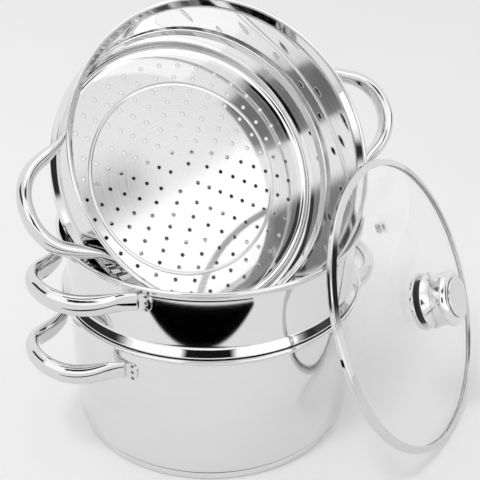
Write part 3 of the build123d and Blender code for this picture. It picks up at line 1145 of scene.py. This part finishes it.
    def knob_insert(self) -> Surface:
        """Neck under the spool and the threaded insert inside it."""
        seat = self.crown + self.seal + self.flange[1]
        shoulder = seat + self.neck[1]
        top = self.insert_top
        line, _ = rounded(
            [(0.0, top - 4.5), (self.screw_bore, top - 4.5), (self.screw_bore, seat), (self.neck[0], seat),
             (self.neck[0], shoulder), (self.insert_radius, shoulder), (self.insert_radius, top), (0.0, top)],
            [0.2, 0.4, 0.6, 0.6, 0.2, 0.6], 5)
        return turned(line, self.place, 96, poles=True)

    def knob_body(self) -> Surface:
        """Hollow spool: a waisted wall between its base and a rounded shoulder.

        The wall is the arc through the base, the waist and the shoulder's start, and the shoulder
        is an arc that ends level at the top. The inner outline is the outer one moved inwards.
        """
        seat = self.crown + self.seal + self.flange[1] + self.neck[1]
        top = seat + self.spool_height
        base_edge = 1.0
        waist = arc((self.spool_base, seat + base_edge),
                    (self.spool_waist, seat + self.spool_height * self.spool_waist_share),
                    (self.spool_top, top - self.spool_bend), 24)
        t = np.linspace(0.0, pi / 2, 13)
        shoulder = np.stack((self.spool_top - self.spool_bend * (1 - np.cos(t)),
                             top - self.spool_bend * (1 - np.sin(t))), axis=1)
        roll = np.stack((self.spool_base - base_edge + base_edge * np.sin(t),
                         seat + base_edge * (1 - np.cos(t))), axis=1)
        level = np.linspace(self.insert_radius + 0.3, self.spool_base - base_edge - 0.1, 5)
        bottom = np.stack((level, 0 * level + seat), axis=1)
        mouth = np.array(((self.spool_mouth, top),))
        line = np.concatenate((bottom, roll[:-1], waist, shoulder[1:], mouth))
        heading = np.gradient(line, axis=0)
        heading /= np.linalg.norm(heading, axis=1)[:, None]
        return turned(sheet((line, heading), self.spool_sheet), self.place, 128)

    def knob_cap(self) -> Surface:
        """Flat disc with a rounded edge that closes the spool."""
        radius, height = self.cap
        seat = self.crown + self.seal + self.flange[1] + self.neck[1] + self.spool_height
        line, _ = rounded([(0.0, seat), (radius, seat), (radius, seat + height), (0.0, seat + height)],
                          [0.2, self.cap_edge], 6)
        return turned(line, self.place, 128, poles=True)

    def build(self) -> None:
        """Make and dress the lid's pieces."""
        place = self.place
        show(self.glass(), "lid_dome", "lid", GLASS, place, ("lid_glass",))
        show(self.band(), "lid_band", "lid", BRIGHT, place, ("lid_rim_band",))
        show(self.grommet(), "lid_vent", "lid", BRIGHT, self.vent_place(),
             ("lid_vent_grommet",))
        show(self.knob_flange(), "knob_flange", "lid", BRIGHT, place, ("lid_knob_flange",))
        show(self.knob_insert(), "knob_neck", "lid", INSERT, place, ("lid_knob_insert",))
        show(self.knob_body(), "knob_spool", "lid", KNOB, place, ("lid_knob_body",))
        show(self.knob_cap(), "knob_cap", "lid", KNOB, place, ("lid_knob_cap",))
        dress("lid_seal_washer", RUBBER, place)
        dress("lid_inner_washer", BRIGHT, place)
        dress("lid_knob_screw", BRIGHT, place)


# Studio

@dataclass(frozen=True)
class Card:
    """Card or screen of the studio that only mirrored rays find.

    Args:
        heading: its two sides, in degrees from the camera's side, positive to the right.
        height: its lower and upper edge, in degrees above the horizon.
        level: its brightness.
        soft: half the width of its fading edge, in degrees.
    """

    heading: tuple[float, float]
    height: tuple[float, float]
    level: float
    soft: float = 3.0


@dataclass(frozen=True)
class Lamp:
    """Soft box, which lights and casts shadows and isn't mirrored: the cards are.

    Args:
        name: its name.
        at: its place, in m.
        size: its width and height, in m.
        radiance: brightness of its face.
        aim: the point that it faces, in m.
    """

    name: str
    at: tuple[float, float, float]
    size: tuple[float, float]
    radiance: float
    aim: tuple[float, float, float] = (0.0, 0.0, 0.1)

    def build(self) -> None:
        """Make the lamp."""
        light = bpy.data.lights.new(self.name, "AREA")
        light.shape = "RECTANGLE"
        light.size, light.size_y = self.size
        light.energy = self.radiance * pi * self.size[0] * self.size[1]
        made = placed(self.name, light)
        made.visible_glossy = made.visible_transmission = False
        made.location = self.at
        made.rotation_euler = (Vector(self.aim) - Vector(self.at)).to_track_quat("-Z", "Y").to_euler()


def panel(name: str, corners: list[tuple[float, float, float]],
          paper: str) -> tuple[bpy.types.Object, Graph]:
    """Flat piece of the studio with an empty material.

    Args:
        name: its name.
        corners: its four corners, in m.
        paper: its material's name.

    Returns:
        The object and the material's graph.
    """
    mesh = bpy.data.meshes.new(name)
    mesh.from_pydata(corners, [], [(0, 1, 2, 3)])
    material, graph = new_material(paper)
    mesh.materials.append(material)
    return placed(name, mesh), graph


@dataclass
class Studio:
    """Pale floor, soft lamps and the room that metal and glass mirror.

    Args:
        floor_level: reflectance of the floor.
        floor_size: its side, in m.
        floor_drop: how far it lies under the pot, in m.
        floor_glow: its own light.
        edge_near: where the dark card on the floor begins in front of the pot, in m.
        edge_slant: slope of that edge.
        edge_round: radius of the card's far side, in m.
        edge_sides: its left and right side, in m.
        edge_soft: half widths of the fades of near edge, sides and far side, in m.
        flag_at: middle of the dark screen behind the camera, in m.
        flag_size: its width and height, in m.
        flag_soft: half the width of its fading edge, in m.
        flag_fray: cells per metre of the edge's unevenness, and its reach in m.
        flag_level: its reflectance.
        room_light: level of the light from all sides.
        room_pale: level of the room that is mirrored.
        ceiling: what the mirrored ceiling adds, and the heights that it fades in over, in radians.
        cards: the cards.
        lamps: the lamps.
    """

    floor_level: float = 0.86
    floor_size: float = 9.0
    floor_drop: float = 0.0004
    floor_glow: float = 0.12
    edge_near: float = -0.355
    edge_slant: float = -0.12
    edge_round: float = 0.4445
    edge_sides: tuple[float, float] = (-0.28, 0.215)
    edge_soft: tuple[float, float, float] = (0.005, 0.008, 0.002)
    flag_at: tuple[float, float, float] = (0.0, -0.88, 0.635)
    flag_size: tuple[float, float] = (0.68, 0.50)
    flag_soft: float = 0.05
    flag_fray: tuple[float, float] = (7.0, 0.16)
    flag_level: float = 0.012
    room_light: float = 0.70
    room_pale: float = 0.95
    ceiling: tuple[float, float, float] = (0.35, 0.9, 1.2)
    cards: tuple[Card, ...] = (
        Card((-26.0, 62.0), (54.5, 69.0), 0.05),
        Card((-60.0, 40.0), (-10.0, 52.0), 1.25, 2.0),
        Card((30.0, 69.0), (-10.0, 38.6), 1.5, 0.7),
        Card((50.0, 59.0), (39.6, 41.5), 0.12, 1.6),
        Card((64.0, 101.0), (9.0, 27.0), 0.02, 2.5),
        Card((-108.0, -64.0), (8.0, 27.0), 0.03, 2.5),
    )
    lamps: tuple[Lamp, ...] = (
        Lamp("key_box", (-0.70, -1.0, 2.6), (0.5, 0.5), 17.0),
        Lamp("fill_box", (-1.8, 0.6, 2.4), (1.2, 1.0), 1.6),
    )

    def seen(self, g: Graph) -> Value:
        """1 for rays that show the room: seen by the camera, mirrored or through glass."""
        light = g.node("ShaderNodeLightPath")
        ways = [Value(g, light.outputs[name]) for name in
                ("Is Camera Ray", "Is Glossy Ray", "Is Transmission Ray")]
        return (ways[0] + ways[1] + ways[2]).maths("MINIMUM", 1.0)

    def room(self) -> None:
        """World: even light, and for mirrored rays a pale room with cards all round."""
        world = bpy.data.worlds.new("studio")
        world.use_nodes = True
        bpy.context.scene.world = world
        g = Graph(world.node_tree)
        x, y, z = g.parts(g.value("ShaderNodeTexCoord", None, None, "Generated"))
        heading = x.maths("ARCTAN2", y * -1.0)
        height = z.maths("ARCSINE")
        gain, low, high = self.ceiling
        mirrored = self.room_pale + gain * g.step(height, low, high)
        for card in self.cards:
            soft = radians(card.soft)
            held = g.between(heading, *map(radians, card.heading), soft) * g.between(
                height, *map(radians, card.height), soft)
            mirrored = mirrored + held * (card.level - mirrored)
        level = self.room_light + self.seen(g) * (mirrored - self.room_light)
        background = g.value("ShaderNodeBackground", None, {"Color": g.grey(level), "Strength": 1.0})
        g.output(background, "ShaderNodeOutputWorld")

    def floor(self) -> None:
        """Floor under the pot; mirrored rays also find a dark card that lies in front, out of view."""
        half, low = self.floor_size / 2, -self.floor_drop
        plane, g = panel("floor", [(-half, -half, low), (half, -half, low), (half, half, low),
                                   (-half, half, low)], "floor_paper")
        x, y, _ = g.parts(g.value("ShaderNodeTexCoord", None, None, "Object"))
        mirrored = g.value("ShaderNodeLightPath", None, None, "Is Glossy Ray")
        far = (x * x + y * y).maths("SQRT")
        near_soft, side_soft, far_soft = self.edge_soft
        edge = (g.step(y - x * self.edge_slant, self.edge_near + near_soft, self.edge_near - near_soft)
                * g.between(x, *self.edge_sides, side_soft)
                * g.step(far, self.edge_round + far_soft, self.edge_round - far_soft))
        paper_seen = 1.0 - edge * mirrored
        grain = g.noise(g.vector(x, y, 0.0), 6.0, 3.0, 0.5)
        paper = (self.floor_level + (grain - 0.5) * 0.02) * paper_seen
        g.output(g.principled({
            "Base Color": g.grey(paper), "Roughness": 0.7, "Specular IOR Level": 0.0,
            "Emission Color": g.grey(paper_seen), "Emission Strength": self.floor_glow}))

    def flag(self) -> None:
        """Dark screen behind the camera, upright, that only mirrored rays find."""
        wide, high = self.flag_size[0] / 2, self.flag_size[1] / 2
        screen, g = panel("flag", [(-wide, 0.0, -high), (wide, 0.0, -high), (wide, 0.0, high),
                                   (-wide, 0.0, high)], "flag_cloth")
        screen.location = self.flag_at
        screen.visible_camera = screen.visible_diffuse = False
        screen.visible_shadow = screen.visible_transmission = False
        x, _, z = g.parts(g.value("ShaderNodeTexCoord", None, None, "Object"))
        cells, reach = self.flag_fray
        frayed = (g.noise(g.vector(x, 0.0, z), cells, 2.0, 0.5) - 0.5) * reach
        soft = self.flag_soft
        shape = (g.between(x + frayed, soft - wide, wide - soft, soft)
                 * g.between(z + frayed, soft - high, high - soft, soft))
        g.output(g.principled({
            "Base Color": g.grey(self.flag_level), "Roughness": 0.9, "Specular IOR Level": 0.0,
            "Alpha": shape}))

    def build(self) -> None:
        """Make the room, the floor, the screen and the lamps."""
        self.room()
        self.floor()
        self.flag()
        for lamp in self.lamps:
            lamp.build()
        log.info("studio: floor %.1f m wide, %d lamps, %d cards", self.floor_size, len(self.lamps),
                 len(self.cards))


@dataclass
class Viewpoint:
    """Camera that was fitted to the photograph.

    Args:
        at: its place, in m.
        elevation: how far it looks down, in degrees.
        roll: its roll, in degrees.
        lens: focal length, in mm on a 36 mm sensor.
    """

    at: tuple[float, float, float] = (0.02859, -0.85832, 0.67082)
    elevation: float = 29.58
    roll: float = 0.25
    lens: float = 76.02
    sensor: float = 36.0

    def build(self) -> None:
        """Make the camera: its columns are right, up and back, turned by the roll."""
        e, r = radians(self.elevation), radians(self.roll)
        back = Vector((0.0, -cos(e), sin(e)))
        flat, steep = Vector((1.0, 0.0, 0.0)), Vector((0.0, sin(e), cos(e)))
        right, up = flat * cos(r) + steep * sin(r), steep * cos(r) - flat * sin(r)
        camera = placed("camera", bpy.data.cameras.new("camera"))
        camera.data.lens, camera.data.sensor_width = self.lens, self.sensor
        camera.matrix_world = Matrix((right, up, back)).transposed().to_4x4()
        camera.matrix_world.translation = Vector(self.at)
        bpy.context.scene.camera = camera


# Gap of the seat in mm, turn of the seated basket, and centre, lean, heading and turn of the leaning one
SEAT_GAP = 0.3
LOWER_TURN = 39.3
UPPER_LEAN = ((16.03, -25.12, 289.4), 53.94, 30.15, 3.1)


def main() -> None:
    """Build the camera, the studio and the vessels in order."""
    logging.basicConfig(level=logging.INFO, format="%(name)s: %(message)s")
    bpy.context.scene.view_settings.view_transform = "Standard"
    Viewpoint().build()
    Studio().build()
    pot = Pot()
    pot.build()
    seat = pot.place.origin[2] + pot.bead + SEAT_GAP + Basket.seat_depth
    Basket("lower_steamer", Place.turned(seat, LOWER_TURN)).build()
    Basket("upper_steamer", Place.leaning(*UPPER_LEAN)).build()
    Lid().build()


if __name__ == "__main__":
    main()
